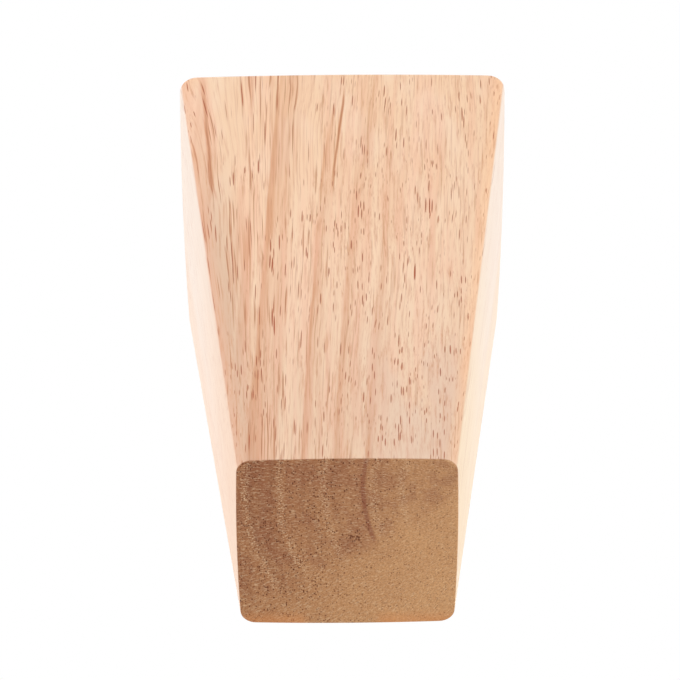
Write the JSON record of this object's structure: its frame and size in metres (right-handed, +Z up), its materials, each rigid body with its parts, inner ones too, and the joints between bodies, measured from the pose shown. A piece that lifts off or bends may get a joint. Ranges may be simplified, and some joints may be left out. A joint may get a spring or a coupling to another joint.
{
  "type": "tapered wooden furniture leg",
  "caption": "Short square furniture leg in bare light wood, tapered on all four sides to a smaller square foot, with a threaded steel stud in its top.",
  "frame": {"origin": "centre of the foot's end face, on the floor", "axes": "+Z up along the leg, from the foot to the threaded stud; X and Y square to the leg's faces, with the pictured face towards -Y"},
  "size_m": [0.064, 0.064, 0.125],
  "materials": {
    "bare_wood": "sanded, without varnish; long pores and pinkish streaks on the faces, brown end grain on the foot",
    "plated_steel": "bright zinc plate on a rolled thread"
  },
  "bodies": {
    "root": {"leg_body": "bare_wood", "hanger_bolt": "plated_steel"}
  },
  "joints": []
}
